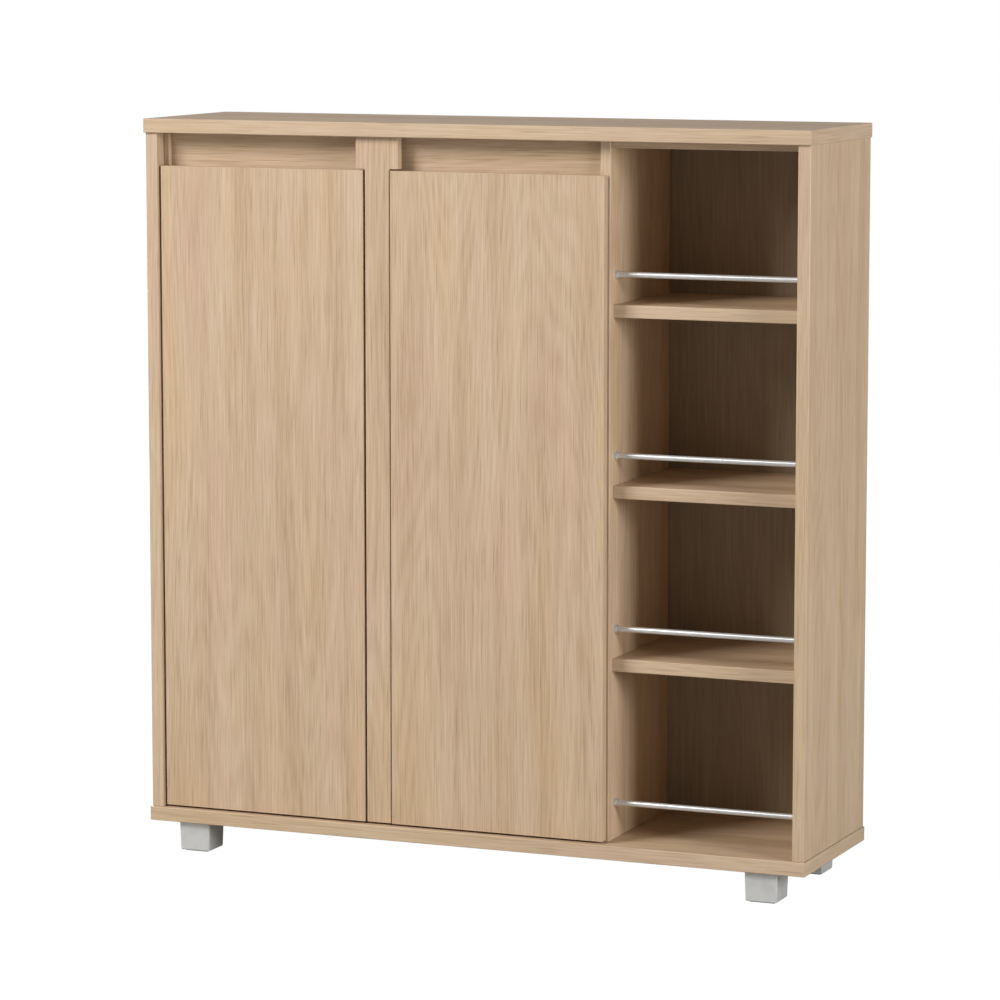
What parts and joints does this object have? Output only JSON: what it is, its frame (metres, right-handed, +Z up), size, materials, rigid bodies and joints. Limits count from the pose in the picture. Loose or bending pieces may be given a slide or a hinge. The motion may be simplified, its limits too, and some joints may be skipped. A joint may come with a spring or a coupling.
{
  "type": "shoe cabinet",
  "caption": "Shallow oak-look shoe cabinet on metal block feet, with hinged doors under finger recesses and an open column of shelves with chrome shoe rods.",
  "frame": {"origin": "on the floor, under the middle of the cabinet's width and depth", "axes": "+X to the right of someone facing the doors, -Y out of the front, +Z up"},
  "size_m": [1, 0.266, 1.06],
  "materials": {
    "oak_door": "light oak woodgrain melamine on chipboard, fine vertical grain, matt",
    "oak_board": "light oak woodgrain melamine on chipboard, grain along each board, matt",
    "inner_board": "light oak woodgrain melamine on chipboard, plainer than the outside, matt",
    "back_board": "thin hardboard with a printed light oak face",
    "chrome_rod": "polished chrome plate",
    "satin_foot": "satin silver metal",
    "foot_glide": "moulded nylon pad",
    "hinge_steel": "nickel-plated pressed steel",
    "door_bumper": "clear soft polyurethane dot"
  },
  "bodies": {
    "carcass": {"top_panel": "oak_board", "bottom_panel": "oak_board", "left_side_panel": "oak_board", "right_side_panel": "oak_board", "column_divider": "oak_board", "centre_partition": "inner_board", "centre_stile": "oak_board", "stile_backer": "oak_board", "left_stop_strip": "oak_board", "finger_rail": "oak_board", "column_lintel": "oak_board", "door_section_back": "back_board", "column_back": "back_board", "column_shelf_1": "oak_board", "column_shelf_2": "oak_board", "column_shelf_3": "oak_board", "left_inner_shelf_1": "inner_board", "left_inner_shelf_2": "inner_board", "left_inner_shelf_3": "inner_board", "right_inner_shelf_1": "inner_board", "right_inner_shelf_2": "inner_board", "right_inner_shelf_3": "inner_board", "shoe_rod_1": "chrome_rod", "shoe_rod_2": "chrome_rod", "shoe_rod_3": "chrome_rod", "shoe_rod_4": "chrome_rod", "rod_socket_left_1": "chrome_rod", "rod_socket_right_1": "chrome_rod", "rod_socket_left_2": "chrome_rod", "rod_socket_right_2": "chrome_rod", "rod_socket_left_3": "chrome_rod", "rod_socket_right_3": "chrome_rod", "rod_socket_left_4": "chrome_rod", "rod_socket_right_4": "chrome_rod", "front_left_foot": "satin_foot", "front_left_glide": "foot_glide", "front_right_foot": "satin_foot", "front_right_glide": "foot_glide", "rear_left_foot": "satin_foot", "rear_left_glide": "foot_glide", "rear_right_foot": "satin_foot", "rear_right_glide": "foot_glide", "left_lower_hinge_arm": "hinge_steel", "left_lower_hinge_plate": "hinge_steel", "left_upper_hinge_arm": "hinge_steel", "left_upper_hinge_plate": "hinge_steel", "right_lower_hinge_arm": "hinge_steel", "right_lower_hinge_plate": "hinge_steel", "right_upper_hinge_arm": "hinge_steel", "right_upper_hinge_plate": "hinge_steel"},
    "left_door": {"left_door": "oak_door", "left_lower_hinge_cup": "hinge_steel", "left_upper_hinge_cup": "hinge_steel", "left_lower_bumper": "door_bumper", "left_upper_bumper": "door_bumper"},
    "right_door": {"right_door": "oak_door", "right_lower_hinge_cup": "hinge_steel", "right_upper_hinge_cup": "hinge_steel", "right_lower_bumper": "door_bumper", "right_upper_bumper": "door_bumper"}
  },
  "joints": [
    {"name": "left_door_hinge", "type": "hinge", "parent": "carcass", "child": "left_door", "pos_m": [-0.478, -0.124, 0.53], "axis": [0, 0, -1], "range_deg": [0, 105]},
    {"name": "right_door_hinge", "type": "hinge", "parent": "carcass", "child": "right_door", "pos_m": [0.2005, -0.124, 0.53], "axis": [0, 0, 1], "range_deg": [0, 105]}
  ]
}
